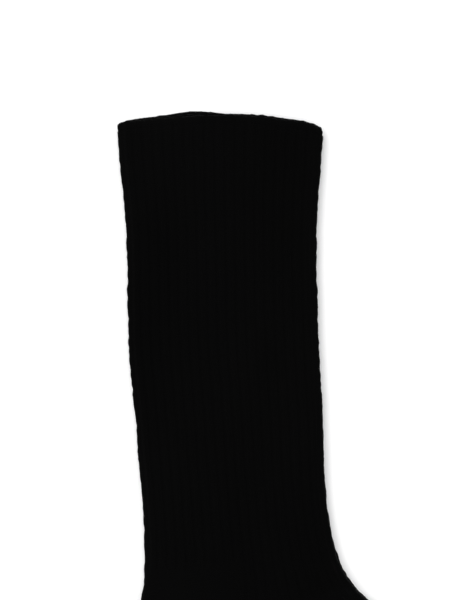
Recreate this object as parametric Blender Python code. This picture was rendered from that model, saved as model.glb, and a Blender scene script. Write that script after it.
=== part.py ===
"""A pair of long ribbed crew socks, laid flat one on the other.

The cuffs point to +Y, the toes to +X and -Y, and +Z is up from the table. Each sock is knitted as one
hollow tube: open at the cuff, closed at the toe, its two faces lying on each other.
Sizes are in millimetres, and the meshes are made in metres.

A sock is described by sections from its rim to its toe. Each section crosses the flat sock from the
back edge (calf, heel, sole) to the front edge (shin, instep), and is a flat ring of knit. In a ring,
around = 0 is the back edge, 0.25 the middle of the upper face, 0.5 the front edge, 0.75 the underside.
"""

import math
from collections import namedtuple

import bpy
import numpy as np

MM = 0.001

# The knit
WALL = 1.0  # plain knit
RIB_HEIGHT = 0.6  # a rib's top above the grooves beside it
PLAIN_HEIGHT = 0.3  # heel, sole and toe above the grooves
INNER_GAP = 0.4  # between the two faces of a sock
SOCK_GAP = 0.3  # between the two socks
HALF_THICK = WALL + INNER_GAP / 2  # of a flat sock, without its ribs
INNER_HALF_THICK = INNER_GAP / 2

# 2 x 2 rib: 40 ribs from 160 needles
RIBS = 40
RIB_TOP_SHARE = 0.54  # of a rib's pitch, flat on top
WELT_LENGTH = 3.0  # turned edge at the rim
WELT_RIB_SHARE = 0.5  # of the rib's height, on the welt
RIM_CHAMFER = 0.3

# Where the knit changes from rib to plain, by section name
HEEL_STARTS = "achilles"
TOE_STARTS = "toe start"
RIB_FADE = 5.0  # length over which ribs run out

# Edges of the flat sock. x is from the page's middle, down is from the cuff's highest point.
# rise_share is how much of the rim's curve the section keeps.
Section = namedtuple("Section", "name back_x back_down front_x front_down rise_share")
LEG_AND_HEEL = [
    Section("rim", -46.3, 4.4, 42.1, 6.6, 1.0),
    Section("welt", -46.4, 8.6, 42.1, 10.6, 0.93),
    Section("cuff top", -46.05, 13.4, 41.4, 15.4, 0.83),
    Section("cuff", -45.55, 21.0, 41.1, 21.8, 0.7),
    Section("calf top", -43.4, 41.5, 39.6, 41.5, 0.42),
    Section("calf", -42.35, 60.0, 39.1, 60.0, 0.22),
    Section("calf low", -42.05, 83.0, 39.6, 83.0, 0.1),
    Section("shin top", -41.5, 103.5, 40.3, 103.5, 0.04),
    Section("shin", -39.5, 124.0, 41.4, 124.0, 0.0),
    Section("shin middle", -38.6, 134.0, 42.0, 134.0, 0.0),
    Section("shin low", -37.8, 144.5, 42.1, 144.5, 0.0),
    Section("ankle top", -36.1, 163.0, 42.9, 162.0, 0.0),
    Section("ankle", -35.0, 180.0, 44.6, 176.5, 0.0),
    Section("achilles", -34.9, 195.0, 46.9, 187.5, 0.0),
    Section("fold 1", -36.4, 208.5, 49.8, 195.5, 0.0),
    Section("heel back", -39.0, 221.5, 53.0, 201.2, 0.0),
    Section("fold 2", -40.4, 234.0, 56.2, 205.4, 0.0),
    Section("heel", -37.6, 245.5, 59.4, 208.6, 0.0),
    Section("fold 3", -29.8, 254.6, 62.6, 211.4, 0.0),
    Section("heel base", -18.4, 262.0, 66.2, 214.2, 0.0),
    Section("gusset", -4.5, 270.6, 70.2, 217.0, 0.0),
    Section("instep", 11.0, 280.4, 74.6, 219.8, 0.0),
    Section("instep low", 28.0, 291.0, 80.0, 223.2, 0.0),
]

# The foot is a straight tube. along is the distance on the sole line from the heel's end of it, rise is
# how far the sole edge lies inside that line, and width is across the flat foot.
SOLE_START_X = -4.5
SOLE_START_DOWN = 270.6
FOOT_FALL_DEG = 32.0  # the foot's axis below the page's +X
Foot = namedtuple("Foot", "name along rise width")
FOOT = [
    Foot("arch", 58.0, 0.0, 84.0),
    Foot("arch low", 78.0, 0.2, 81.8),
    Foot("middle", 98.0, 0.3, 80.4),
    Foot("ball", 118.0, 0.0, 79.6),
    Foot("toe start", 134.0, 0.4, 78.4),
    Foot("toe 1", 144.0, 1.6, 75.4),
    Foot("toe 2", 152.5, 4.2, 69.6),
    Foot("toe 3", 159.5, 8.4, 60.6),
    Foot("toe 4", 165.0, 14.0, 49.0),
    Foot("toe 5", 168.6, 20.4, 36.0),
    Foot("toe 6", 170.4, 26.8, 23.0),
    Foot("toe tip", 171.0, 32.6, 11.0),
]
TIP_ROUNDING = 2.6  # length over which the closed toe thins to its edge
TIP_THICK_SHARE = 0.4
TIP_WALL = 5.0  # cloth between the hollow's end and the toe's tip

# The curve of each rim above the straight line between its corners. across is -1 at the back edge.
Rim = namedtuple("Rim", "across upper_rise lower_rise")
RIM = [
    Rim(-1.0, 0.0, 0.0),
    Rim(-0.93, 0.9, 1.2),
    Rim(-0.6, 2.7, 3.75),
    Rim(-0.25, 4.5, 6.1),
    Rim(0.0, 5.1, 5.5),
    Rim(0.3, 5.1, 4.2),
    Rim(0.6, 3.95, 3.0),
    Rim(0.93, 1.4, 0.9),
    Rim(1.0, 0.0, 0.0),
]

# Soft folds of the upper face that run out from the bend of the instep.
# from_across and to_across are their faint and strong ends.
Fold = namedtuple("Fold", "section from_across to_across height half_length")
FOLDS = [
    Fold("fold 1", 0.1, 0.8, 1.0, 5.0),
    Fold("fold 2", -0.15, 0.75, 1.5, 4.2),
    Fold("fold 3", 0.25, 0.8, 1.1, 4.6),
]

# Domes of the upper face over the pockets of heel and toe
Dome = namedtuple("Dome", "section across half_width half_length height")
DOMES = [
    Dome("heel", -0.55, 0.45, 22.0, 1.3),
    Dome("toe 1", 0.0, 0.6, 20.0, 0.9),
]
MOUTH_OPENING = 0.8  # of the rim's middle
MOUTH_LENGTH = 14.0
MOUTH_STEP = 0.9  # the upper face's rim lies this far below the underside's
MOUTH_STEP_LENGTH = 20.0
EDGE_PUFF = 0.3  # the side folds stand this much thicker than the middle
EDGE_PUFF_INSET = 3.5
EDGE_PUFF_HALF_WIDTH = 3.0

# How each sock lies. turn_deg is about the page's middle at the rim's height, and narrowing is of its
# width. plain_below leaves the ribs off an underside that rests flat.
Lay = namedtuple("Lay", "name shift_x shift_y turn_deg narrowing puffed plain_below")
LOWER = Lay("sock_lower", -0.2, 0.1, 0.25, 0.6, False, True)
UPPER = Lay("sock_upper", 0.0, 0.0, 0.0, 0.0, True, False)
UPPER_BASE = 2 * HALF_THICK + RIB_HEIGHT + EDGE_PUFF + SOCK_GAP + RIB_HEIGHT

# Mesh density
RIM_RINGS = [0.5, 1.4, WELT_LENGTH]  # from the rim
INNER_FLAT_POINTS = 8
PLAIN_BELOW_STEP = 2  # ribs to a point on a plain underside

# Near-black cotton
KNIT_COLOR = (0.012, 0.012, 0.013, 1.0)
KNIT_ROUGHNESS = 0.95


def smoothstep(x, low, high):
    s = np.clip((x - low) / (high - low), 0.0, 1.0)
    return s * s * (3.0 - 2.0 * s)


def foot_section(row):
    """A row of the foot as a section with the page's coordinates."""
    fall = math.radians(FOOT_FALL_DEG)
    along = np.array([math.cos(fall), math.sin(fall)])
    inward = np.array([math.sin(fall), -math.cos(fall)])
    sole_start = np.array([SOLE_START_X, SOLE_START_DOWN])
    back = sole_start + along * row.along + inward * row.rise
    front = back + inward * row.width
    return Section(row.name, *back, *front, 0.0)


SECTIONS = LEG_AND_HEEL + [foot_section(row) for row in FOOT]
EDGES = np.array([[s.back_x, -s.back_down, s.front_x, -s.front_down, s.rise_share] for s in SECTIONS])


def distances_along():
    """How far each section's middle lies from the rim's, along the sock."""
    middles = (EDGES[:, 0:2] + EDGES[:, 2:4]) / 2
    steps = np.linalg.norm(np.diff(middles, axis=0), axis=1)
    return np.concatenate([[0.0], np.cumsum(steps)])


ALONG = distances_along()
TIP = ALONG[-1]


def place_of(name):
    names = [s.name for s in SECTIONS]
    return ALONG[names.index(name)]


def smooth_values(knots, values, wanted):
    """Values at the wanted places, on smooth curves through the knots."""
    slopes = np.gradient(values, knots, axis=0)
    i = np.clip(np.searchsorted(knots, wanted, side="right") - 1, 0, len(knots) - 2)
    step = (knots[i + 1] - knots[i])[:, None]
    s = (wanted - knots[i])[:, None] / step
    return (
        (2 * s**3 - 3 * s**2 + 1) * values[i]
        + (s**3 - 2 * s**2 + s) * step * slopes[i]
        + (3 * s**2 - 2 * s**3) * values[i + 1]
        + (s**3 - s**2) * step * slopes[i + 1]
    )


def rim_rise(lay, across):
    """Height of the rim's curve at places across it."""
    knots = np.array([row.across for row in RIM])
    rises = np.array([row.upper_rise if lay.puffed else row.lower_rise for row in RIM])
    flat = np.clip(across, -1.0, 1.0).ravel()
    return smooth_values(knots, rises[:, None], flat).reshape(across.shape)


def stadium(around, half_width, half_thick):
    """Points and outward normals of flat rings, x across and z up, with a row for each ring."""
    flat = 2 * (half_width - half_thick)
    arc = math.pi * half_thick
    total = 2 * (flat + arc)
    s = (around % 1.0)[None, :] * total
    over_back = s < arc / 2
    on_top = s < arc / 2 + flat
    over_front = s < arc * 1.5 + flat
    on_underside = s < arc * 1.5 + 2 * flat
    angle = np.select(
        [over_back, on_top, over_front, on_underside],
        [
            math.pi - s / half_thick,
            math.pi / 2 + 0 * s,
            math.pi / 2 - (s - arc / 2 - flat) / half_thick,
            -math.pi / 2 + 0 * s,
        ],
        math.pi - (s - total) / half_thick,
    )
    end = flat / 2
    x = np.select(
        [over_back, on_top, over_front, on_underside],
        [-end + 0 * s, s - arc / 2 - end, end + 0 * s, end - (s - arc * 1.5 - flat)],
        -end + 0 * s,
    )
    normal_x = np.cos(angle)
    normal_z = np.sin(angle)
    return x + half_thick * normal_x, half_thick * normal_z, normal_x, normal_z


def rib_profile(around):
    """0 in a groove, 1 on a rib's flat top. A rib runs down each side fold."""
    phase = np.abs((around * RIBS + 0.5) % 1.0 - 0.5) * 2.0
    return np.clip((1.0 - phase) / (1.0 - RIB_TOP_SHARE), 0.0, 1.0)


def ribbed_share(along, around):
    """1 where the knit is rib, 0 where it is plain: heel, sole and toe."""
    heel = smoothstep(along, place_of(HEEL_STARTS), place_of(HEEL_STARTS) + RIB_FADE)[:, None]
    toe = smoothstep(along, place_of(TOE_STARTS), place_of(TOE_STARTS) + RIB_FADE)[:, None]
    back_half = (np.abs((around + 0.5) % 1.0 - 0.5) < 0.25)[None, :]
    return (1.0 - heel * back_half) * (1.0 - toe)


def knit_height(lay, along, around, normal_z):
    """How far the outer face stands out of the grooves' level."""
    ribbed = ribbed_share(along, around)
    below_welt = smoothstep(along, WELT_LENGTH / 2, WELT_LENGTH * 1.5)
    rib_share = WELT_RIB_SHARE + (1.0 - WELT_RIB_SHARE) * below_welt
    rib = RIB_HEIGHT * rib_profile(around)[None, :] * rib_share[:, None]
    height = ribbed * rib + (1.0 - ribbed) * PLAIN_HEIGHT
    if lay.plain_below:
        height = height * smoothstep(normal_z, -0.7, 0.0)
    return height


def face_lift(lay, along, x, half_width):
    """How far the upper face is raised off the underside."""
    across = x / half_width
    from_edge = half_width - np.abs(x)
    lift = EDGE_PUFF * np.exp(-(((from_edge - EDGE_PUFF_INSET) / EDGE_PUFF_HALF_WIDTH) ** 2))
    if not lay.puffed:
        return lift
    mouth = MOUTH_OPENING * (1.0 - smoothstep(along, 0.0, MOUTH_LENGTH))[:, None]
    lift = lift + mouth * np.clip(1.0 - across**2, 0.0, 1.0)
    for fold in FOLDS:
        ridge = np.exp(-(((along - place_of(fold.section)) / fold.half_length) ** 2))[:, None]
        strength = smoothstep(across, fold.from_across, fold.to_across)
        lift = lift + fold.height * ridge * strength * (1.0 - smoothstep(across, 0.9, 1.0))
    for dome in DOMES:
        lengthwise = np.exp(-(((along - place_of(dome.section)) / dome.half_length) ** 2))[:, None]
        crosswise = np.exp(-(((across - dome.across) / dome.half_width) ** 2))
        lift = lift + dome.height * lengthwise * crosswise * (1.0 - smoothstep(np.abs(across), 0.85, 1.0))
    return lift


def thinning(along):
    """The flat sock's thickness over its usual one: the closed toe thins to its edge."""
    s = np.clip((along - (TIP - TIP_ROUNDING)) / TIP_ROUNDING, 0.0, 1.0)
    return np.maximum(np.sqrt(1.0 - s**2), TIP_THICK_SHARE)


def edges_at(lay, along):
    """Middle, direction across, half width and rise share of the sections at these places."""
    values = smooth_values(ALONG, EDGES, along)
    back = values[:, 0:2]
    front = values[:, 2:4]
    span = front - back
    length = np.linalg.norm(span, axis=1)
    half_width = (length - lay.narrowing) / 2 - RIB_HEIGHT
    return (back + front) / 2, span / length[:, None], half_width, values[:, 4]


def placed(lay, along, x, height, half_width):
    """Ring points in the page's plane, at their heights."""
    middle, direction, _, rise_share = edges_at(lay, along)
    cuffward = np.stack([-direction[:, 1], direction[:, 0]], axis=1)
    rise = rim_rise(lay, x / half_width) * rise_share[:, None]
    base = 0.0 if lay.plain_below else UPPER_BASE
    over_top = smoothstep(height - base, 0.0, 2 * HALF_THICK)
    step = MOUTH_STEP * (1.0 - smoothstep(along, 0.0, MOUTH_STEP_LENGTH))[:, None] * over_top
    flat = middle[:, None, :] + direction[:, None, :] * x[:, :, None]
    flat = flat + cuffward[:, None, :] * (rise - step)[:, :, None]
    turn = math.radians(lay.turn_deg)
    page_x = flat[..., 0] * math.cos(turn) - flat[..., 1] * math.sin(turn) + lay.shift_x
    page_y = flat[..., 0] * math.sin(turn) + flat[..., 1] * math.cos(turn) + lay.shift_y
    return np.stack([page_x, page_y, height], axis=2)


def outer_rings(lay, along, around):
    _, _, half_width, _ = edges_at(lay, along)
    half_width = half_width[:, None]
    thick = (HALF_THICK * thinning(along))[:, None]
    x, z, normal_x, normal_z = stadium(around, half_width, thick)
    chamfer = RIM_CHAMFER * (along <= 0.0)[:, None]
    height = knit_height(lay, along, around, normal_z) * thinning(along)[:, None] - chamfer
    x = x + normal_x * height
    lifted = np.clip((z + thick) / (2 * thick), 0.0, 1.0)
    base = 0.0 if lay.plain_below else UPPER_BASE
    level = base + HALF_THICK + z + normal_z * height + lifted * face_lift(lay, along, x, half_width)
    if lay.plain_below:
        level = level - (HALF_THICK - thick) * (1.0 - lifted)
    return placed(lay, along, x, level, half_width)


def inner_rings(lay, along, around):
    """The tube's plain inside. Near the toe it keeps clear of the tip's curve."""
    _, _, half_width, _ = edges_at(lay, along)
    _, _, ahead, _ = edges_at(lay, np.minimum(along + 2 * WALL, TIP))
    inside = (np.minimum(half_width, ahead) - WALL)[:, None]
    x, z, _, _ = stadium(around, inside, INNER_HALF_THICK)
    lifted = (z + INNER_HALF_THICK) / (2 * INNER_HALF_THICK)
    base = 0.0 if lay.plain_below else UPPER_BASE
    level = base + HALF_THICK + z + lifted * face_lift(lay, along, x, half_width[:, None])
    return placed(lay, along, x, level, half_width[:, None])


def outer_places(lay):
    """Places around a ring: the side folds, two shoulders and a groove for each rib, and fewer on a plain
    underside."""
    places = [0.0, 0.5]
    shoulder = RIB_TOP_SHARE / 2
    for rib in range(RIBS):
        underneath = RIBS / 2 + 1 < rib < RIBS - 1
        if lay.plain_below and underneath:
            if rib % PLAIN_BELOW_STEP == 0:
                places.append(rib / RIBS)
            continue
        places += [(rib - shoulder) / RIBS, (rib + shoulder) / RIBS, (rib + 0.5) / RIBS]
    return np.sort(np.array(places) % 1.0)


def inner_places():
    """Places around the inside: the side folds' three points each, and an even row on each face."""
    fold = INNER_HALF_THICK * math.pi / 2 / 180.0
    face = np.linspace(fold, 0.5 - fold, INNER_FLAT_POINTS + 2)
    return np.concatenate([[0.0], face, [0.5], face + 0.5])


def ring_faces(rings, count, inward):
    """Quads between rings of the same count, as indices from 0."""
    faces = []
    for ring in range(rings - 1):
        for i in range(count):
            j = (i + 1) % count
            here = ring * count
            quad = (here + i, here + count + i, here + count + j, here + j)
            faces.append(quad[::-1] if inward else quad)
    return faces


def rim_faces(outer_at, inner_at, first_inner):
    """Triangles that join the outer and the inner ring at the rim."""
    faces = []
    outer_count = len(outer_at)
    inner_count = len(inner_at)
    outer_next = np.append(outer_at, outer_at[0] + 1.0)
    inner_next = np.append(inner_at, inner_at[0] + 1.0)
    i = 0
    j = 0
    while i < outer_count or j < inner_count:
        outer_turn = j == inner_count or (i < outer_count and outer_next[i + 1] <= inner_next[j + 1])
        here = i % outer_count
        there = first_inner + j % inner_count
        if outer_turn:
            faces.append((here, (i + 1) % outer_count, there))
            i += 1
        else:
            faces.append((here, first_inner + (j + 1) % inner_count, there))
            j += 1
    return faces


def cap_faces(first, count, tip, inward):
    faces = []
    for i in range(count):
        j = (i + 1) % count
        face = (first + i, tip, first + j)
        faces.append(face[::-1] if inward else face)
    return faces


def knit_material():
    material = bpy.data.materials.new("black_knit")
    material.use_nodes = True
    shader = material.node_tree.nodes["Principled BSDF"]
    shader.inputs["Base Color"].default_value = KNIT_COLOR
    shader.inputs["Roughness"].default_value = KNIT_ROUGHNESS
    shader.inputs["Metallic"].default_value = 0.0
    return material


def sock_points(lay):
    """Points and faces of one sock, in millimetres on the page."""
    outer_at = outer_places(lay)
    inner_at = inner_places()
    outer_along = np.array([0.0] + RIM_RINGS + list(ALONG[1:]))
    inner_along = outer_along[outer_along < TIP - TIP_WALL]
    outer = outer_rings(lay, outer_along, outer_at)
    inner = inner_rings(lay, inner_along, inner_at)
    outer_tip = outer[-1].mean(axis=0)
    inner_tip = inner[-1].mean(axis=0)
    points = np.concatenate([outer.reshape(-1, 3), inner.reshape(-1, 3), [outer_tip, inner_tip]])

    outer_total = len(outer_along) * len(outer_at)
    inner_total = len(inner_along) * len(inner_at)
    last_outer = outer_total - len(outer_at)
    last_inner = outer_total + inner_total - len(inner_at)
    outer_tip_index = outer_total + inner_total
    faces = ring_faces(len(outer_along), len(outer_at), False)
    inner_quads = ring_faces(len(inner_along), len(inner_at), True)
    faces += [tuple(outer_total + i for i in quad) for quad in inner_quads]
    faces += rim_faces(outer_at, inner_at, outer_total)
    faces += cap_faces(last_outer, len(outer_at), outer_tip_index, False)
    faces += cap_faces(last_inner, len(inner_at), outer_tip_index + 1, True)
    return points, faces


def add_sock(lay, points, faces, material):
    mesh = bpy.data.meshes.new(lay.name)
    mesh.from_pydata((points * MM).tolist(), [], faces)
    mesh.validate()
    mesh.update()
    mesh.shade_smooth()
    mesh.set_sharp_from_angle(angle=math.radians(60))
    mesh.materials.append(material)
    sock = bpy.data.objects.new(lay.name, mesh)
    bpy.context.scene.collection.objects.link(sock)
    return sock


def build():
    for old in list(bpy.data.objects):
        bpy.data.objects.remove(old, do_unlink=True)
    material = knit_material()
    socks = [(lay, *sock_points(lay)) for lay in (LOWER, UPPER)]
    every_point = np.concatenate([points for _, points, _ in socks])
    centre = (every_point.min(axis=0) + every_point.max(axis=0)) / 2
    centre[2] = 0.0
    for lay, points, faces in socks:
        add_sock(lay, points - centre, faces, material)


build()
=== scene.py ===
"""The looks of a pair of ribbed crew socks, laid flat one on the other and seen from straight above.

Each sock is one closed shell of knit on its solid's form: 2 x 2 rib with its single wales, a turned rim,
a plain heel, sole and toe, gore lines and a linked toe seam. Sizes are in millimetres until the meshes
are made. Places on a sock are given by along, the distance from the rim down the sock's middle, and by
around, which is 0 at the back edge, 0.25 in the middle of the upper face, 0.5 at the front edge and 0.75
in the middle of the underside. across runs from -1 at the back edge to 1 at the front edge.
"""

import math
from collections import namedtuple

import bpy
import numpy as np
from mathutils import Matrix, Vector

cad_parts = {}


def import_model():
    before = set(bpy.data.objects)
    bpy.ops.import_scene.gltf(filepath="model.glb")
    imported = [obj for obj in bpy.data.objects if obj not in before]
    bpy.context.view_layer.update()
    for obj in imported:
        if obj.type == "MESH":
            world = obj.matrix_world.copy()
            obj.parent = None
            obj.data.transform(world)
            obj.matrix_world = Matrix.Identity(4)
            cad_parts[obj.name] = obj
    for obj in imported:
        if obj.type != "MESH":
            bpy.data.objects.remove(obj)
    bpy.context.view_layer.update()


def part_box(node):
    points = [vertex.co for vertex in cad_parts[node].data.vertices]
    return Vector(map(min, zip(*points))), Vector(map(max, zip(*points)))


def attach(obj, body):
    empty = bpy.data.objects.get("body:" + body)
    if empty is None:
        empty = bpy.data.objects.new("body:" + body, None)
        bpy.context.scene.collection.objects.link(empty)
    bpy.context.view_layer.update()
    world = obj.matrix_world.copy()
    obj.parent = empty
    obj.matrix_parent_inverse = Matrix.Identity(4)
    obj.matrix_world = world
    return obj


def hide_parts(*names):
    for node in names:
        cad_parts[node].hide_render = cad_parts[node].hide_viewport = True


MM = 0.001

# ---------------------------------------------------------------- the knit, as in the solids

WALL = 1.0  # in the grooves
RIB_HEIGHT = 0.6  # a rib's top above the grooves beside it
PLAIN_HEIGHT = 0.3  # heel, sole and toe above the grooves
INNER_GAP = 0.4  # between the two faces of a sock
SOCK_GAP = 0.3  # between the two socks
HALF_THICK = WALL + INNER_GAP / 2
INNER_HALF_THICK = INNER_GAP / 2
RIBS = 40
WALES = 160  # single columns of stitches round the tube
COURSE = 0.95  # height of one stitch

HEEL_STARTS = "achilles"
TOE_STARTS = "toe start"
RIB_FADE = 5.0  # length over which ribs run out
PLAIN_BELOW_FROM = -0.7  # the normal's z at which a plain underside starts

# Edges of the flat sock. x is from the page's middle, down is from the cuff's highest point.
# rise_share is how much of the rim's curve the section keeps.
Section = namedtuple("Section", "name back_x back_down front_x front_down rise_share")
LEG_AND_HEEL = [
    Section("rim", -46.3, 4.4, 42.1, 6.6, 1.0),
    Section("welt", -46.4, 8.6, 42.1, 10.6, 0.93),
    Section("cuff top", -46.05, 13.4, 41.4, 15.4, 0.83),
    Section("cuff", -45.55, 21.0, 41.1, 21.8, 0.7),
    Section("calf top", -43.4, 41.5, 39.6, 41.5, 0.42),
    Section("calf", -42.35, 60.0, 39.1, 60.0, 0.22),
    Section("calf low", -42.05, 83.0, 39.6, 83.0, 0.1),
    Section("shin top", -41.5, 103.5, 40.3, 103.5, 0.04),
    Section("shin", -39.5, 124.0, 41.4, 124.0, 0.0),
    Section("shin middle", -38.6, 134.0, 42.0, 134.0, 0.0),
    Section("shin low", -37.8, 144.5, 42.1, 144.5, 0.0),
    Section("ankle top", -36.1, 163.0, 42.9, 162.0, 0.0),
    Section("ankle", -35.0, 180.0, 44.6, 176.5, 0.0),
    Section("achilles", -34.9, 195.0, 46.9, 187.5, 0.0),
    Section("fold 1", -36.4, 208.5, 49.8, 195.5, 0.0),
    Section("heel back", -39.0, 221.5, 53.0, 201.2, 0.0),
    Section("fold 2", -40.4, 234.0, 56.2, 205.4, 0.0),
    Section("heel", -37.6, 245.5, 59.4, 208.6, 0.0),
    Section("fold 3", -29.8, 254.6, 62.6, 211.4, 0.0),
    Section("heel base", -18.4, 262.0, 66.2, 214.2, 0.0),
    Section("gusset", -4.5, 270.6, 70.2, 217.0, 0.0),
    Section("instep", 11.0, 280.4, 74.6, 219.8, 0.0),
    Section("instep low", 28.0, 291.0, 80.0, 223.2, 0.0),
]

# The foot's rows lie along its axis from the start of the sole. rise is off that line, width is across.
SOLE_START_X = -4.5
SOLE_START_DOWN = 270.6
FOOT_FALL = math.radians(32.0)
FOOT_AXIS = np.array([math.cos(FOOT_FALL), math.sin(FOOT_FALL)])
FOOT_INWARD = np.array([math.sin(FOOT_FALL), -math.cos(FOOT_FALL)])
Foot = namedtuple("Foot", "name along rise width")
FOOT = [
    Foot("arch", 58.0, 0.0, 84.0),
    Foot("arch low", 78.0, 0.2, 81.8),
    Foot("middle", 98.0, 0.3, 80.4),
    Foot("ball", 118.0, 0.0, 79.6),
    Foot("toe start", 134.0, 0.4, 78.4),
    Foot("toe 1", 144.0, 1.6, 75.4),
    Foot("toe 2", 152.5, 4.2, 69.6),
    Foot("toe 3", 159.5, 8.4, 60.6),
    Foot("toe 4", 165.0, 14.0, 49.0),
    Foot("toe 5", 168.6, 20.4, 36.0),
    Foot("toe 6", 170.4, 26.8, 23.0),
    Foot("toe tip", 171.0, 32.6, 11.0),
]
TIP_ROUNDING = 2.6  # length over which the closed toe thins to its edge
TIP_THICK_SHARE = 0.4
TIP_WALL = 5.0  # cloth between the hollow's end and the toe's tip

# How far the rim rises above the line between its two corners
Rim = namedtuple("Rim", "across upper_rise lower_rise")
RIM = [
    Rim(-1.0, 0.0, 0.0),
    Rim(-0.93, 0.9, 1.2),
    Rim(-0.6, 2.7, 3.75),
    Rim(-0.25, 4.5, 6.1),
    Rim(0.0, 5.1, 5.5),
    Rim(0.3, 5.1, 4.2),
    Rim(0.6, 3.95, 3.0),
    Rim(0.93, 1.4, 0.9),
    Rim(1.0, 0.0, 0.0),
]

# Soft folds of the upper face at the bend of the instep, between their faint and their strong end
Fold = namedtuple("Fold", "section from_across to_across height half_length")
FOLDS = [
    Fold("fold 1", 0.1, 0.8, 1.0, 5.0),
    Fold("fold 2", -0.15, 0.75, 1.5, 4.2),
    Fold("fold 3", 0.25, 0.8, 1.1, 4.6),
]
FOLD_ENDS = 0.9  # across, where a fold starts to run out at the front edge

# Domes of the upper face over the pockets of heel and toe
Dome = namedtuple("Dome", "section across half_width half_length height")
DOMES = [
    Dome("heel", -0.55, 0.45, 22.0, 1.3),
    Dome("toe 1", 0.0, 0.6, 20.0, 0.9),
]
INSIDE_EDGES = 0.85  # across, where domes and creases start to run out at both edges
MOUTH_OPENING = 0.8  # of the rim's middle
MOUTH_LENGTH = 14.0
MOUTH_STEP = 0.9  # the upper face's rim lies this far below the underside's
MOUTH_STEP_LENGTH = 20.0
EDGE_PUFF = 0.3  # the side folds stand this much thicker than the middle
EDGE_PUFF_INSET = 3.5
EDGE_PUFF_HALF_WIDTH = 3.0

# How each sock lies. narrowing is of its width. plain_below leaves the ribs off an underside that
# rests flat, and only the puffed sock has folds, domes and creases.
Lay = namedtuple("Lay", "name node shift_x shift_y turn_deg narrowing puffed plain_below")
LOWER = Lay("sock_lower_knit", "sock_lower", -0.2, 0.1, 0.25, 0.6, False, True)
UPPER = Lay("sock_upper_knit", "sock_upper", 0.0, 0.0, 0.0, 0.0, True, False)
UPPER_BASE = 2 * HALF_THICK + RIB_HEIGHT + EDGE_PUFF + SOCK_GAP + RIB_HEIGHT

# ---------------------------------------------------------------- what the looks add

# Height of a rib over its groove, by distance from its middle as a share of the pitch: two knit wales
# with a crease between them, then a slope into the groove.
WALE_PHASE = [0.0, 0.13, 0.26, 0.36, 0.5]
WALE_HEIGHT = [0.47, 0.6, 0.5, 0.16, 0.0]

RIM_ROLL = 4.2  # length over which the turned rim rounds off, all but at the back fold
RIM_ROLL_DROP = 0.8
RIM_SCALLOP = 0.34  # a groove's end lies this far inside the rim's line, where a rib's end is
RIM_UNEVEN = 0.17  # and each rib's end lies a little further in or out
RIM_SCALLOP_LENGTH = 5.0
CORNER_ROUND = 1.0  # radius of the rim's corners at the side folds
EDGE_ROUND = 0.7  # the upper face's drop to the side folds
EDGE_ROUND_WIDTH = 5.0
WELT_LENGTH = 3.2
WELT_RIB_SHARE = 0.62
WELT_RIB_GROWTH = (-0.4, 1.2)  # off the welt's lower edge, where the ribs grow to their full height
WELT_FLARE = 0.35  # the welt stands out this far at the back fold
WELT_FLARE_END = (-1.0, 2.0)  # off the welt's lower edge
WELT_GROOVE = 0.25  # a shallow line under the welt
WELT_GROOVE_HALF = 0.5

# Soft creases of the leg and foot. width is across the crease, lean_deg is off the sock's length, and
# lift is up from the flat face, or down where it is negative.
Crease = namedtuple("Crease", "along across length width lean_deg lift")
CREASES = [
    Crease(62.0, -0.42, 52.0, 8.0, 3.0, 0.42),
    Crease(98.0, 0.28, 66.0, 11.0, -4.0, 0.5),
    Crease(128.0, -0.62, 38.0, 7.0, 6.0, 0.36),
    Crease(36.0, 0.55, 34.0, 9.0, -2.0, 0.34),
    Crease(84.0, -0.08, 40.0, 6.0, 2.0, -0.2),
    Crease(150.0, 0.1, 30.0, 10.0, -12.0, 0.45),
    Crease(176.0, -0.35, 26.0, 6.0, 38.0, 0.55),
    Crease(300.0, 0.3, 48.0, 9.0, 5.0, 0.5),
    Crease(322.0, -0.35, 60.0, 12.0, -4.0, 0.45),
    Crease(348.0, 0.05, 30.0, 7.0, 12.0, 0.35),
]
RIB_WANDER = 0.16  # sideways, of the ribs' run
RIB_WANDER_WAVES = [(47.0, 0.4), (23.0, 2.1)]  # wave length and phase
YARN_NOISE = 0.035  # uneven height of the stitches
NOISE_LIMIT = 2.0  # of the random numbers, in standard deviations
EDGE_NOISE = 0.2  # uneven side folds
EDGE_NOISE_SPREAD = [0.25, 0.5, 0.25]  # over neighbouring courses
SEED = 8

# The linked seam over the instep, and the gore line from the heel's corner to the middle of each face.
# Their ends are places round the tube, off the instep's middle.
SEAM_HEIGHT = 0.45
SEAM_HALF_WIDTH = 0.8
SEAM_ENDS = (0.245, 0.262)
GORE_HEIGHT = 0.22
GORE_HALF_WIDTH = 0.7
GORE_STARTS = (0.255, 0.28)

# The yarn
V_SLOPE = 1.1  # courses that a stitch's leg climbs over a wale's width
STRAND_SHARE = 0.7  # of a leg's height that its round strand makes
PURL_SWING = 0.25  # of a purl row, up and down
PURL_SHARPNESS = 3.0  # of the change from knit to purl at a groove's side
STITCH_DEPTH = 0.1
FIBRE_SHARE = 0.35  # of a stitch's depth
FIBRE_SCALE = 2600.0
PATCH_SCALE = 28.0  # soft uneven fading
PATCH_STRETCH = (1.0, 0.35, 1.0)  # in patches longer than wide
PATCH_SHARE = 0.75
DARK = 0.0004  # of the black's tones
LIGHT = 0.0017
BLUE_SHARE = 1.03
CREVICE_PAINTED_SHADE = 0.7  # painted shade: the colour is this much darker between the stitches, where they shade each other
ROUGHNESS = 0.95
SPECULAR = 0.03
SHEEN = 0.06
INSIDE_SHEEN = 0.02  # of the rim's end and the inside
SHEEN_ROUGHNESS = 0.3

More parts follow.
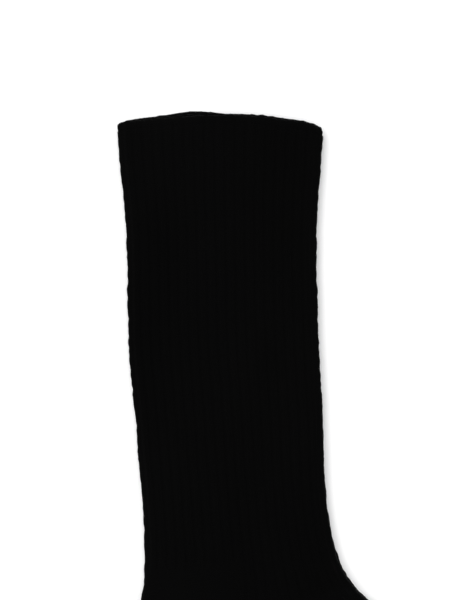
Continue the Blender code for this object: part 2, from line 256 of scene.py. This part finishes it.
# Mesh density
FINE_LENGTH = 165.0  # of the leg that the camera sees
FINE_STEP = 1.02
COARSE_STEP = 1.32
RIM_STEPS = [0.0, 0.25, 0.6, 1.0, 1.5, 2.0, 2.6, 3.0, 3.4, 3.9]
SEAM_STEPS = [-1.6, -1.0, -0.5, 0.0, 0.5, 1.0, 1.6]
SEAM_CLEARANCE = 0.3  # between them and the other rings
TIP_STEPS = [3.4, 2.8, 2.3, 1.9, 1.55, 1.25, 1.0, 0.75, 0.55, 0.35, 0.2, 0.08, 0.0]
FINE_PHASES = [0.0, 0.13, 0.26, 0.36, 0.5, -0.36, -0.26, -0.13]
COARSE_PHASES = [-0.27, 0.0, 0.27, 0.5]
INNER_FLAT_POINTS = 26
INNER_RIM_RINGS = 8  # the inside has as many rings as the outside at the rim
INNER_STEP = 3  # and every third one below it
OUTLINE_RINGS = 400

# Picture: the photo's frame is 450 by 600 pixels, and this many millimetres to a pixel
MM_PER_PIXEL = 0.4297
FRAME_HEIGHT = 600
FRAME_MIDDLE = (224.5, 299.5)
PAGE_ZERO = (225.0, 111.5)  # the page's x is from the first of these, and down from the second
OUTLINE_LEVEL = UPPER_BASE + HALF_THICK  # of the side folds, where that scale holds
LENS = 180.0
SENSOR = 36.0

# Light: the white floor is a little overexposed, so that only the narrow shadow on the right shows
WORLD_STRENGTH = 1.0
KEY_WATTS = 30.0
KEY_AZIMUTH = 145.0
KEY_ELEVATION = 62.0
KEY_DISTANCE = 2.0  # in metres, as are the next two
KEY_DIAMETER = 2.8
FLOOR_HALF_SIDE = 3.0
FLOOR_GREY = 0.93


def smoothstep(x, low, high):
    s = np.clip((x - low) / (high - low), 0.0, 1.0)
    return s * s * (3.0 - 2.0 * s)


def bell(x):
    return np.exp(-(x**2))


def foot_section(row):
    back = np.array([SOLE_START_X, SOLE_START_DOWN]) + FOOT_AXIS * row.along + FOOT_INWARD * row.rise
    front = back + FOOT_INWARD * row.width
    return Section(row.name, *back, *front, 0.0)


SECTIONS = LEG_AND_HEEL + [foot_section(row) for row in FOOT]
EDGES = np.array([[s.back_x, -s.back_down, s.front_x, -s.front_down, s.rise_share] for s in SECTIONS])


def distances_along():
    middles = (EDGES[:, 0:2] + EDGES[:, 2:4]) / 2
    steps = np.linalg.norm(np.diff(middles, axis=0), axis=1)
    return np.concatenate([[0.0], np.cumsum(steps)])


ALONG = distances_along()
TIP = ALONG[-1]


def place_of(name):
    names = [s.name for s in SECTIONS]
    return ALONG[names.index(name)]


SEAM_PLACE = place_of(TOE_STARTS) + RIB_FADE
GORE_PLACE = place_of("heel")


def smooth_values(knots, values, wanted):
    """Values at the wanted places, on smooth curves through the knots."""
    slopes = np.gradient(values, knots, axis=0)
    i = np.clip(np.searchsorted(knots, wanted, side="right") - 1, 0, len(knots) - 2)
    step = (knots[i + 1] - knots[i])[:, None]
    s = (wanted - knots[i])[:, None] / step
    return (
        (2 * s**3 - 3 * s**2 + 1) * values[i]
        + (s**3 - 2 * s**2 + s) * step * slopes[i]
        + (3 * s**2 - 2 * s**3) * values[i + 1]
        + (s**3 - s**2) * step * slopes[i + 1]
    )


def rim_rise(lay, across):
    knots = np.array([row.across for row in RIM])
    rises = np.array([row.upper_rise if lay.puffed else row.lower_rise for row in RIM])
    flat = np.clip(across, -1.0, 1.0).ravel()
    return smooth_values(knots, rises[:, None], flat).reshape(across.shape)


def stadium(around, half_width, half_thick):
    """Points and outward normals of flat rings, x across and z up, with a row for each ring."""
    flat = 2 * (half_width - half_thick)
    arc = math.pi * half_thick
    total = 2 * (flat + arc)
    s = (around % 1.0)[None, :] * total
    over_back = s < arc / 2
    on_top = s < arc / 2 + flat
    over_front = s < arc * 1.5 + flat
    on_underside = s < arc * 1.5 + 2 * flat
    angle = np.select(
        [over_back, on_top, over_front, on_underside],
        [
            math.pi - s / half_thick,
            math.pi / 2 + 0 * s,
            math.pi / 2 - (s - arc / 2 - flat) / half_thick,
            -math.pi / 2 + 0 * s,
        ],
        math.pi - (s - total) / half_thick,
    )
    end = flat / 2
    x = np.select(
        [over_back, on_top, over_front, on_underside],
        [-end + 0 * s, s - arc / 2 - end, end + 0 * s, end - (s - arc * 1.5 - flat)],
        -end + 0 * s,
    )
    normal_x = np.cos(angle)
    normal_z = np.sin(angle)
    return x + half_thick * normal_x, half_thick * normal_z, normal_x, normal_z


def ribbed_share(along, around):
    """1 where the knit is rib, 0 where it is plain: heel, sole and toe."""
    heel = smoothstep(along, place_of(HEEL_STARTS), place_of(HEEL_STARTS) + RIB_FADE)
    toe = smoothstep(along, place_of(TOE_STARTS), place_of(TOE_STARTS) + RIB_FADE)
    back_half = np.abs((around + 0.5) % 1.0 - 0.5) < 0.25
    return (1.0 - heel * back_half) * (1.0 - toe)


def past_welt(along, stretch):
    """0 to 1 over a stretch given off the welt's lower edge."""
    return smoothstep(along, WELT_LENGTH + stretch[0], WELT_LENGTH + stretch[1])


def welt_share(along):
    """How much of the ribs' height shows, by the distance from the rim."""
    return WELT_RIB_SHARE + (1.0 - WELT_RIB_SHARE) * past_welt(along, WELT_RIB_GROWTH)


def seams(along, around):
    """The linked seam across the instep half of the tube, and the heel's gore across the other half."""
    from_instep = np.abs(around - 0.5)[None, :]
    linked = bell((along - SEAM_PLACE) / SEAM_HALF_WIDTH)[:, None]
    gore = bell((along - GORE_PLACE) / GORE_HALF_WIDTH)[:, None]
    linked = SEAM_HEIGHT * linked * (1.0 - smoothstep(from_instep, *SEAM_ENDS))
    return linked + GORE_HEIGHT * gore * smoothstep(from_instep, *GORE_STARTS)


def knit_height(lay, along, around, normal_z, noise):
    """How far the outer face stands out of the grooves' level."""
    phase = np.abs((around * RIBS + 0.5) % 1.0 - 0.5)
    rib = np.interp(phase, WALE_PHASE, WALE_HEIGHT)[None, :] * welt_share(along)[:, None]
    ribbed = ribbed_share(along[:, None], around[None, :])
    height = ribbed * rib + (1.0 - ribbed) * PLAIN_HEIGHT + noise
    height = height + seams(along, around)
    height = height - WELT_GROOVE * bell((along - WELT_LENGTH) / WELT_GROOVE_HALF)[:, None]
    if lay.plain_below:
        height = height * smoothstep(normal_z, PLAIN_BELOW_FROM, 0.0)
    return height


def round_off(distance, width):
    """0 from this width inwards, and 1 at the edge, as on a quarter of an ellipse."""
    s = np.clip(1.0 - distance / width, 0.0, 1.0)
    return 1.0 - np.sqrt(1.0 - s**2)


def rim_roll(along, normal_x):
    """How far the outer face draws in towards the rim. At the back fold the welt flares instead."""
    at_back = np.clip(-normal_x, 0.0, 1.0)
    roll = RIM_ROLL_DROP * round_off(along, RIM_ROLL)[:, None]
    flare = WELT_FLARE * (1.0 - past_welt(along, WELT_FLARE_END))[:, None]
    return roll * (1.0 - at_back) - flare * at_back


def rim_scallop(along, around, unevenness):
    """How far the ends of the ribs stand out of the rim's line."""
    knots = np.arange(RIBS + 1) / RIBS
    uneven = RIM_UNEVEN * np.interp(around, knots, np.append(unevenness, unevenness[0]))
    scallop = RIM_SCALLOP / 2 * (np.cos(2 * math.pi * RIBS * around) - 1.0) + uneven
    return scallop[None, :] * (1.0 - smoothstep(along, 0.0, RIM_SCALLOP_LENGTH))[:, None]


def crease_lift(along, across, half_width):
    """The soft creases at places on the upper face."""
    lift = np.zeros_like(across)
    for crease in CREASES:
        lean = math.radians(crease.lean_deg)
        down = (along - crease.along)[:, None]
        side = (across - crease.across) * half_width
        run = down * math.cos(lean) + side * math.sin(lean)
        off = side * math.cos(lean) - down * math.sin(lean)
        lift = lift + crease.lift * bell(run / (crease.length / 2)) * bell(off / (crease.width / 2))
    return lift


def face_lift(lay, along, x, half_width):
    """How far the upper face is raised off the underside."""
    across = x / half_width
    from_edge = half_width - np.abs(x)
    lift = EDGE_PUFF * bell((from_edge - EDGE_PUFF_INSET) / EDGE_PUFF_HALF_WIDTH)
    if not lay.puffed:
        return lift
    lift = lift - EDGE_ROUND * round_off(from_edge, EDGE_ROUND_WIDTH)
    mouth = MOUTH_OPENING * (1.0 - smoothstep(along, 0.0, MOUTH_LENGTH))[:, None]
    lift = lift + mouth * np.clip(1.0 - across**2, 0.0, 1.0)
    inside = 1.0 - smoothstep(np.abs(across), INSIDE_EDGES, 1.0)
    for fold in FOLDS:
        ridge = bell((along - place_of(fold.section)) / fold.half_length)[:, None]
        strength = smoothstep(across, fold.from_across, fold.to_across)
        lift = lift + fold.height * ridge * strength * (1.0 - smoothstep(across, FOLD_ENDS, 1.0))
    for dome in DOMES:
        lengthwise = bell((along - place_of(dome.section)) / dome.half_length)[:, None]
        lift = lift + dome.height * lengthwise * bell((across - dome.across) / dome.half_width) * inside
    return lift + crease_lift(along, across, half_width) * inside


def thinning(along):
    """Share of the flat sock's thickness, which is less at the toe's tip."""
    s = np.clip((along - (TIP - TIP_ROUNDING)) / TIP_ROUNDING, 0.0, 1.0)
    return np.maximum(np.sqrt(1.0 - s**2), TIP_THICK_SHARE)


def edges_at(lay, along):
    """Middle, direction across, half width and rise share of the sections at these places."""
    values = smooth_values(ALONG, EDGES, along)
    back = values[:, 0:2]
    front = values[:, 2:4]
    span = front - back
    length = np.linalg.norm(span, axis=1)
    half_width = (length - lay.narrowing) / 2 - WALE_HEIGHT[0]
    return (back + front) / 2, span / length[:, None], half_width, values[:, 4]


# A quarter of the way round the tube where the toe starts
TOE_QUARTER_ROUND = edges_at(UPPER, np.array([SEAM_PLACE]))[2][0] + HALF_THICK * (math.pi / 2 - 1)


def placed(lay, along, x, height, half_width, scallop=0.0):
    """Ring points in the page's plane, at their heights."""
    middle, direction, _, rise_share = edges_at(lay, along)
    cuffward = np.stack([-direction[:, 1], direction[:, 0]], axis=1)
    rise = rim_rise(lay, x / half_width) * rise_share[:, None]
    base = 0.0 if lay.plain_below else UPPER_BASE
    over_top = smoothstep(height - base, 0.0, 2 * HALF_THICK)
    step = MOUTH_STEP * (1.0 - smoothstep(along, 0.0, MOUTH_STEP_LENGTH))[:, None] * over_top
    flat = middle[:, None, :] + direction[:, None, :] * x[:, :, None]
    corner = CORNER_ROUND * round_off(half_width - np.abs(x), CORNER_ROUND)
    corner = corner * (1.0 - smoothstep(along, 0.0, 2 * CORNER_ROUND))[:, None]
    flat = flat + cuffward[:, None, :] * (rise - step - corner + scallop)[:, :, None]
    turn = math.radians(lay.turn_deg)
    page_x = flat[..., 0] * math.cos(turn) - flat[..., 1] * math.sin(turn) + lay.shift_x
    page_y = flat[..., 0] * math.sin(turn) + flat[..., 1] * math.cos(turn) + lay.shift_y
    return np.stack([page_x, page_y, height], axis=2)


def wander(along, across):
    """Sideways run of the ribs, none at the side folds."""
    waves = sum(np.sin(2 * math.pi * along / length + phase) for length, phase in RIB_WANDER_WAVES)
    return RIB_WANDER / len(RIB_WANDER_WAVES) * waves[:, None] * np.clip(1.0 - across**2, 0.0, 1.0)


def outer_rings(lay, along, around, noise, edge_noise, scallop):
    """The tube's outer face: ribs, rim, seams and creases."""
    _, _, half_width, _ = edges_at(lay, along)
    half_width = half_width[:, None]
    thin = thinning(along)[:, None]
    thick = HALF_THICK * thin
    x, z, normal_x, normal_z = stadium(around, half_width, thick)
    height = knit_height(lay, along, around, normal_z, noise) * thin - rim_roll(along, normal_x)
    x = x + normal_x * (height + edge_noise[:, None] * thin)
    x = x + wander(along, x / half_width)
    lifted = np.clip((z + thick) / (2 * thick), 0.0, 1.0)
    base = 0.0 if lay.plain_below else UPPER_BASE
    level = base + HALF_THICK + z + normal_z * height + lifted * face_lift(lay, along, x, half_width)
    if lay.plain_below:
        level = level - (HALF_THICK - thick) * (1.0 - lifted)
        level = np.maximum(level, 0.0)
    return placed(lay, along, x, level, half_width, scallop)


def inner_rings(lay, along, around):
    """The tube's plain inside. Near the toe it keeps clear of the tip's curve."""
    _, _, half_width, _ = edges_at(lay, along)
    _, _, ahead, _ = edges_at(lay, np.minimum(along + 2 * WALL, TIP))
    inside = (np.minimum(half_width, ahead) - WALL)[:, None]
    x, z, _, _ = stadium(around, inside, INNER_HALF_THICK)
    lifted = (z + INNER_HALF_THICK) / (2 * INNER_HALF_THICK)
    base = 0.0 if lay.plain_below else UPPER_BASE
    level = base + HALF_THICK + z + lifted * face_lift(lay, along, x, half_width[:, None])
    return placed(lay, along, x, level, half_width[:, None])


def outer_places(lay):
    """Places around a ring: each rib's phases, fine on the upper face and the side folds."""
    places = []
    for rib in range(RIBS):
        underneath = RIBS / 2 + 1 < rib < RIBS - 1
        if underneath and lay.plain_below:
            places += [rib / RIBS, (rib + 0.5) / RIBS]
            continue
        phases = COARSE_PHASES if underneath else FINE_PHASES
        places += [(rib + phase) / RIBS for phase in phases]
    return np.unique(np.round(np.array(places) % 1.0, 9))


def inner_places():
    """Places around a ring of the plain inside."""
    fold = INNER_HALF_THICK * math.pi / 2 / (2 * (EDGES[0, 2] - EDGES[0, 0]))
    face = np.linspace(fold, 0.5 - fold, INNER_FLAT_POINTS + 2)
    return np.concatenate([[0.0], face, [0.5], face + 0.5])


def ring_places():
    """Where the outer rings lie along the sock: closer at the rim, the seam and the tip."""
    fine = np.arange(RIM_STEPS[-1] + FINE_STEP, FINE_LENGTH, FINE_STEP)
    coarse = np.arange(FINE_LENGTH, TIP - TIP_STEPS[0], COARSE_STEP)
    ridges = [place + np.array(SEAM_STEPS) for place in (GORE_PLACE, SEAM_PLACE)]
    for ridge in ridges:
        coarse = coarse[(coarse < ridge[0] - SEAM_CLEARANCE) | (coarse > ridge[-1] + SEAM_CLEARANCE)]
    tip = TIP - np.array(TIP_STEPS)
    return np.sort(np.concatenate([RIM_STEPS, fine, coarse, *ridges, tip]))


# ---------------------------------------------------------------- meshes


def ring_faces(rings, count, inward, first=0):
    """Quads between rings of the same count."""
    faces = []
    for ring in range(rings - 1):
        here = first + ring * count
        for i in range(count):
            j = (i + 1) % count
            quad = (here + i, here + count + i, here + count + j, here + j)
            faces.append(quad[::-1] if inward else quad)
    return faces


def rim_faces(outer_at, inner_at, first_inner):
    """Triangles that join the outer and the inner ring at the rim."""
    faces = []
    outer_count = len(outer_at)
    inner_count = len(inner_at)
    outer_next = np.append(outer_at, outer_at[0] + 1.0)
    inner_next = np.append(inner_at, inner_at[0] + 1.0)
    i = 0
    j = 0
    while i < outer_count or j < inner_count:
        outer_turn = j == inner_count or (i < outer_count and outer_next[i + 1] <= inner_next[j + 1])
        here = i % outer_count
        there = first_inner + j % inner_count
        if outer_turn:
            faces.append((here, (i + 1) % outer_count, there))
            i += 1
        else:
            faces.append((here, first_inner + (j + 1) % inner_count, there))
            j += 1
    return faces


def cap_faces(first, count, tip, inward):
    """Triangles from a ring to the point that closes the toe."""
    faces = []
    for i in range(count):
        j = (i + 1) % count
        face = (first + i, tip, first + j)
        faces.append(face[::-1] if inward else face)
    return faces


def spread(random, *size):
    return random.normal(size=size).clip(-NOISE_LIMIT, NOISE_LIMIT)


def uneven_rings(lay, along, outer_at):
    """The outer rings with the unevenness of real knit."""
    random = np.random.RandomState(SEED + lay.plain_below)
    noise = YARN_NOISE * spread(random, len(along), len(outer_at))
    edge_noise = EDGE_NOISE * np.convolve(spread(random, len(along)), EDGE_NOISE_SPREAD, "same")
    scallop = rim_scallop(along, outer_at, spread(random, RIBS))
    return outer_rings(lay, along, outer_at, noise, edge_noise, scallop)


def shell_faces(outer_at, outer_count, inner_at, inner_count):
    """Faces of the outer rings, the inner rings, the rim between them and the two ends at the toe."""
    outer_total = outer_count * len(outer_at)
    tip = outer_total + inner_count * len(inner_at)
    faces = ring_faces(outer_count, len(outer_at), False)
    faces += ring_faces(inner_count, len(inner_at), True, outer_total)
    faces += rim_faces(outer_at, inner_at, outer_total)
    faces += cap_faces(outer_total - len(outer_at), len(outer_at), tip, False)
    faces += cap_faces(tip - len(inner_at), len(inner_at), tip + 1, True)
    return faces


def grid(along, around, x):
    """Along, around and distance across of every point of a set of rings."""
    return np.stack([np.repeat(along, len(around)), np.tile(around, len(along)), x.ravel()], axis=1)


def knit_places(lay, along, outer_at, inner_along, inner_at):
    """Each point's place in the knit. Inside, along runs on over the rim, so that it is negative."""
    _, _, half_width, _ = edges_at(lay, along)
    x, _, _, _ = stadium(outer_at, half_width[:, None], (HALF_THICK * thinning(along))[:, None])
    turned_in = -WALL - inner_along
    outer = grid(along, outer_at, x)
    inner = grid(turned_in, inner_at, np.zeros((len(inner_along), len(inner_at))))
    tips = [[TIP, 0.25, 0.0], [turned_in[-1], 0.25, 0.0]]
    return np.concatenate([outer, inner, tips])


def sock_shell(lay):
    """Points on the page, faces, and each point's place in the knit."""
    outer_at = outer_places(lay)
    inner_at = inner_places()
    along = ring_places()
    below_rim = along[INNER_RIM_RINGS:]
    inner_along = np.append(along[:INNER_RIM_RINGS], below_rim[below_rim < TIP - TIP_WALL][::INNER_STEP])
    outer = uneven_rings(lay, along, outer_at)
    inner = inner_rings(lay, inner_along, inner_at)
    tips = [outer[-1].mean(axis=0), inner[-1].mean(axis=0)]
    points = np.concatenate([outer.reshape(-1, 3), inner.reshape(-1, 3), tips])
    faces = shell_faces(outer_at, len(along), inner_at, len(inner_along))
    return points, faces, knit_places(lay, along, outer_at, inner_along, inner_at)


def knit_map(places, faces):
    """Wale and course at each face corner. Wales run round the tube, and straight on over the toe."""
    corners = np.array([i for face in faces for i in face])
    counts = np.array([len(face) for face in faces])
    owner = np.repeat(np.arange(len(faces)), counts)
    along, around, x = places[corners].T
    # A face that crosses the back edge keeps its corners together
    lowest = np.full(len(faces), np.inf)
    np.minimum.at(lowest, owner, around)
    around = around - (around - lowest[owner] > 0.5)
    middle = np.bincount(owner, around) / counts
    above = (middle > 0.0) & (middle < 0.5)
    quarter = 0.25 * x / TOE_QUARTER_ROUND
    straight = np.where(above[owner], 0.25 + quarter, 0.75 - quarter)
    nearest = np.full(len(faces), TIP)
    np.minimum.at(nearest, owner, along)
    on_toe = nearest[owner] >= SEAM_PLACE
    wale = np.where(on_toe, straight, around) * WALES
    return np.stack([wale, along / COURSE], axis=1)


def add_shell(lay, to_row, materials):
    """A sock's mesh. The first material is for its outside, the second for its inside and the rim's end."""
    points, faces, places = sock_shell(lay)
    mesh = bpy.data.meshes.new(lay.name)
    mesh.from_pydata(((points + to_row) * MM).tolist(), [], faces)
    mesh.update()
    layer = mesh.uv_layers.new(name="Knit")
    layer.uv.foreach_set("vector", knit_map(places, faces).astype(np.float32).ravel())
    along, around, _ = places.T
    ribbed = ribbed_share(along, around) * (along >= 0.0)
    attribute = mesh.attributes.new("ribbed", "FLOAT", "POINT")
    attribute.data.foreach_set("value", ribbed.astype(np.float32))
    mesh.shade_smooth()
    for material in materials:
        mesh.materials.append(material)
    inside = [min(places[i, 0] for i in face) < 0.0 for face in faces]
    mesh.polygons.foreach_set("material_index", np.array(inside, np.int32))
    sock = bpy.data.objects.new(lay.name, mesh)
    bpy.context.scene.collection.objects.link(sock)
    return sock


def page_to_row():
    """The page's zero in the row frame: the solids' box is the outline's box."""
    outlines = []
    for lay in (LOWER, UPPER):
        along = np.linspace(0.0, TIP, OUTLINE_RINGS)
        around = np.array([0.0, 0.25, 0.5, 0.75])
        none = np.zeros((len(along), len(around)))
        outlines.append(outer_rings(lay, along, around, none, none[:, 0], none).reshape(-1, 3))
    ours = np.concatenate(outlines)
    boxes = [np.array(corner) / MM for lay in (LOWER, UPPER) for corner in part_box(lay.node)]
    middle = (np.min(boxes, axis=0) + np.max(boxes, axis=0)) / 2
    shift = middle - (ours.min(axis=0) + ours.max(axis=0)) / 2
    return np.array([shift[0], shift[1], 0.0])


# ---------------------------------------------------------------- material


class Nodes:
    """A material's nodes, with short calls that make one and link it."""

    def __init__(self, material):
        material.use_nodes = True
        self.tree = material.node_tree
        self.shader = self.tree.nodes["Principled BSDF"]

    def add(self, kind, **inputs):
        node = self.tree.nodes.new(kind)
        for name, value in inputs.items():
            self.feed(node.inputs[name.replace("_", " ")], value)
        return node

    def feed(self, socket, value):
        if isinstance(value, bpy.types.NodeSocket):
            self.tree.links.new(value, socket)
        else:
            socket.default_value = value

    def math(self, operation, *values, clamp=False):
        node = self.tree.nodes.new("ShaderNodeMath")
        node.operation = operation
        node.use_clamp = clamp
        for socket, value in zip(node.inputs, values):
            self.feed(socket, value)
        return node.outputs[0]

    def stretched(self, vector, factors):
        node = self.tree.nodes.new("ShaderNodeVectorMath")
        node.operation = "MULTIPLY"
        self.feed(node.inputs[0], vector)
        self.feed(node.inputs[1], factors)
        return node.outputs["Vector"]

    def noise(self, vector, scale, detail=2.0):
        node = self.add("ShaderNodeTexNoise", Vector=vector, Scale=scale, Detail=detail)
        return node.outputs["Fac"]

    def mix(self, factor, low, high):
        """A number between low and high."""
        return self.math("MULTIPLY_ADD", factor, self.math("SUBTRACT", high, low), low)


def knit_loops(nodes, wale, course):
    """Height of plain knit, 0 to 1: a V to a stitch, its two legs leaning out and up."""
    side = nodes.math("SUBTRACT", nodes.math("FRACT", wale), 0.5)
    out = nodes.math("ABSOLUTE", side)
    turn = nodes.math("FRACT", nodes.math("MULTIPLY_ADD", out, -V_SLOPE, course))
    strand = nodes.math("SINE", nodes.math("MULTIPLY", turn, math.pi))
    leg = nodes.math("SINE", nodes.math("MULTIPLY", out, 2 * math.pi))
    strand = nodes.math("MULTIPLY_ADD", strand, STRAND_SHARE, 1.0 - STRAND_SHARE)
    return nodes.math("MULTIPLY", strand, leg)


def purl_loops(nodes, wale, course):
    """Height of purl knit, 0 to 1: the rounded heads of the stitches, in rows like bricks."""
    swing = nodes.math("SINE", nodes.math("MULTIPLY", wale, 2 * math.pi))
    row = nodes.math("MULTIPLY_ADD", swing, PURL_SWING, nodes.math("MULTIPLY", course, 2.0))
    return nodes.math("ABSOLUTE", nodes.math("SINE", nodes.math("MULTIPLY", row, math.pi / 2)))


def stitch_height(nodes):
    """Height of the stitches, 0 to 1. They follow the mesh's map: wales across, courses along."""
    place = nodes.add("ShaderNodeUVMap")
    place.uv_map = "Knit"
    split = nodes.add("ShaderNodeSeparateXYZ", Vector=place.outputs["UV"])
    wale = split.outputs["X"]
    course = split.outputs["Y"]
    ribbed = nodes.add("ShaderNodeAttribute")
    ribbed.attribute_name = "ribbed"
    pair = nodes.math("SINE", nodes.math("MULTIPLY_ADD", wale, math.pi / 2, math.pi / 2))
    groove = nodes.math("MULTIPLY", pair, -PURL_SHARPNESS, clamp=True)
    purl = nodes.math("MULTIPLY", groove, ribbed.outputs["Fac"])
    return nodes.mix(purl, knit_loops(nodes, wale, course), purl_loops(nodes, wale, course))


def yarn_tone_and_painted_shade(nodes, space, fibres, loops):
    """The black's tone: soft patches and fibres, with painted shade that darkens the colour between the
    stitches.
    """
    patches = nodes.noise(nodes.stretched(space, PATCH_STRETCH), PATCH_SCALE)
    fine = nodes.math("MULTIPLY", fibres, 1.0 - PATCH_SHARE)
    tone = nodes.math("MULTIPLY_ADD", patches, PATCH_SHARE, fine)
    return nodes.math("MULTIPLY", nodes.mix(loops, CREVICE_PAINTED_SHADE, 1.0), nodes.mix(tone, DARK, LIGHT))


def knit_material(name, sheen):
    """Near-black cotton knit."""
    material = bpy.data.materials.new(name)
    nodes = Nodes(material)
    loops = stitch_height(nodes)
    space = nodes.add("ShaderNodeTexCoord").outputs["Object"]
    fibres = nodes.noise(space, FIBRE_SCALE)
    bump = nodes.add("ShaderNodeBump", Strength=1.0, Distance=STITCH_DEPTH * MM)
    nodes.feed(bump.inputs["Height"], nodes.math("MULTIPLY_ADD", fibres, FIBRE_SHARE, loops))
    nodes.feed(nodes.shader.inputs["Normal"], bump.outputs["Normal"])

    # The base colour: the yarn's own uneven tone, with painted shade between the stitches
    tone_with_painted_shade = yarn_tone_and_painted_shade(nodes, space, fibres, loops)
    colour = nodes.add("ShaderNodeCombineColor", Red=tone_with_painted_shade, Green=tone_with_painted_shade)
    nodes.feed(colour.inputs["Blue"], nodes.math("MULTIPLY", tone_with_painted_shade, BLUE_SHARE))
    nodes.feed(nodes.shader.inputs["Base Color"], colour.outputs["Color"])
    nodes.shader.inputs["Roughness"].default_value = ROUGHNESS
    nodes.shader.inputs["Specular IOR Level"].default_value = SPECULAR
    nodes.shader.inputs["Sheen Weight"].default_value = sheen
    nodes.shader.inputs["Sheen Roughness"].default_value = SHEEN_ROUGHNESS
    return material


# ---------------------------------------------------------------- picture


def add_floor():
    mesh = bpy.data.meshes.new("floor")
    turns = [(-1, -1), (1, -1), (1, 1), (-1, 1)]
    corners = [(x * FLOOR_HALF_SIDE, y * FLOOR_HALF_SIDE, 0.0) for x, y in turns]
    mesh.from_pydata(corners, [], [(0, 1, 2, 3)])
    floor = bpy.data.objects.new("floor", mesh)
    bpy.context.scene.collection.objects.link(floor)
    material = bpy.data.materials.new("white_floor")
    material.use_nodes = True
    shader = material.node_tree.nodes["Principled BSDF"]
    shader.inputs["Base Color"].default_value = (FLOOR_GREY, FLOOR_GREY, FLOOR_GREY, 1.0)
    shader.inputs["Roughness"].default_value = 1.0
    shader.inputs["Specular IOR Level"].default_value = 0.0
    mesh.materials.append(material)
    return floor


def add_camera(middle):
    """Straight above the frame's middle, at the distance that gives the frame's height."""
    data = bpy.data.cameras.new("camera")
    data.lens = LENS
    data.sensor_width = SENSOR
    camera = bpy.data.objects.new("camera", data)
    distance = FRAME_HEIGHT * MM_PER_PIXEL * LENS / SENSOR
    camera.location = (middle[0], middle[1], (distance + OUTLINE_LEVEL) * MM)
    bpy.context.scene.collection.objects.link(camera)
    bpy.context.scene.camera = camera


def add_key(middle):
    """A large soft box. Azimuth 0 is towards +X, 90 towards +Y."""
    data = bpy.data.lights.new("key", "AREA")
    data.shape = "DISK"
    data.size = KEY_DIAMETER
    data.energy = KEY_WATTS
    lamp = bpy.data.objects.new("key", data)
    azimuth = math.radians(KEY_AZIMUTH)
    elevation = math.radians(KEY_ELEVATION)
    level = math.cos(elevation)
    toward = np.array([level * math.cos(azimuth), level * math.sin(azimuth), math.sin(elevation)])
    lamp.location = middle + toward * KEY_DISTANCE
    lamp.rotation_euler = (0.0, math.pi / 2 - elevation, azimuth)
    bpy.context.scene.collection.objects.link(lamp)


def add_lights(middle):
    world = bpy.data.worlds.new("studio")
    world.use_nodes = True
    background = world.node_tree.nodes["Background"]
    background.inputs["Color"].default_value = (1.0, 1.0, 1.0, 1.0)
    background.inputs["Strength"].default_value = WORLD_STRENGTH
    bpy.context.scene.world = world
    add_key(middle)


def main():
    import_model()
    bpy.context.scene.view_settings.view_transform = "Standard"
    to_row = page_to_row()
    knit = [knit_material("black_knit", SHEEN), knit_material("black_knit_inside", INSIDE_SHEEN)]
    lower = add_shell(LOWER, to_row, knit)
    upper = add_shell(UPPER, to_row, knit)
    floor = add_floor()
    for lay, sock in ((LOWER, lower), (UPPER, upper)):
        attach(sock, "root")
        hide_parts(lay.node)
    from_zero = (np.array(FRAME_MIDDLE) - PAGE_ZERO) * MM_PER_PIXEL
    frame_middle = np.array([to_row[0] + from_zero[0], to_row[1] - from_zero[1], 0.0]) * MM
    add_camera(frame_middle)
    add_lights(frame_middle)


main()
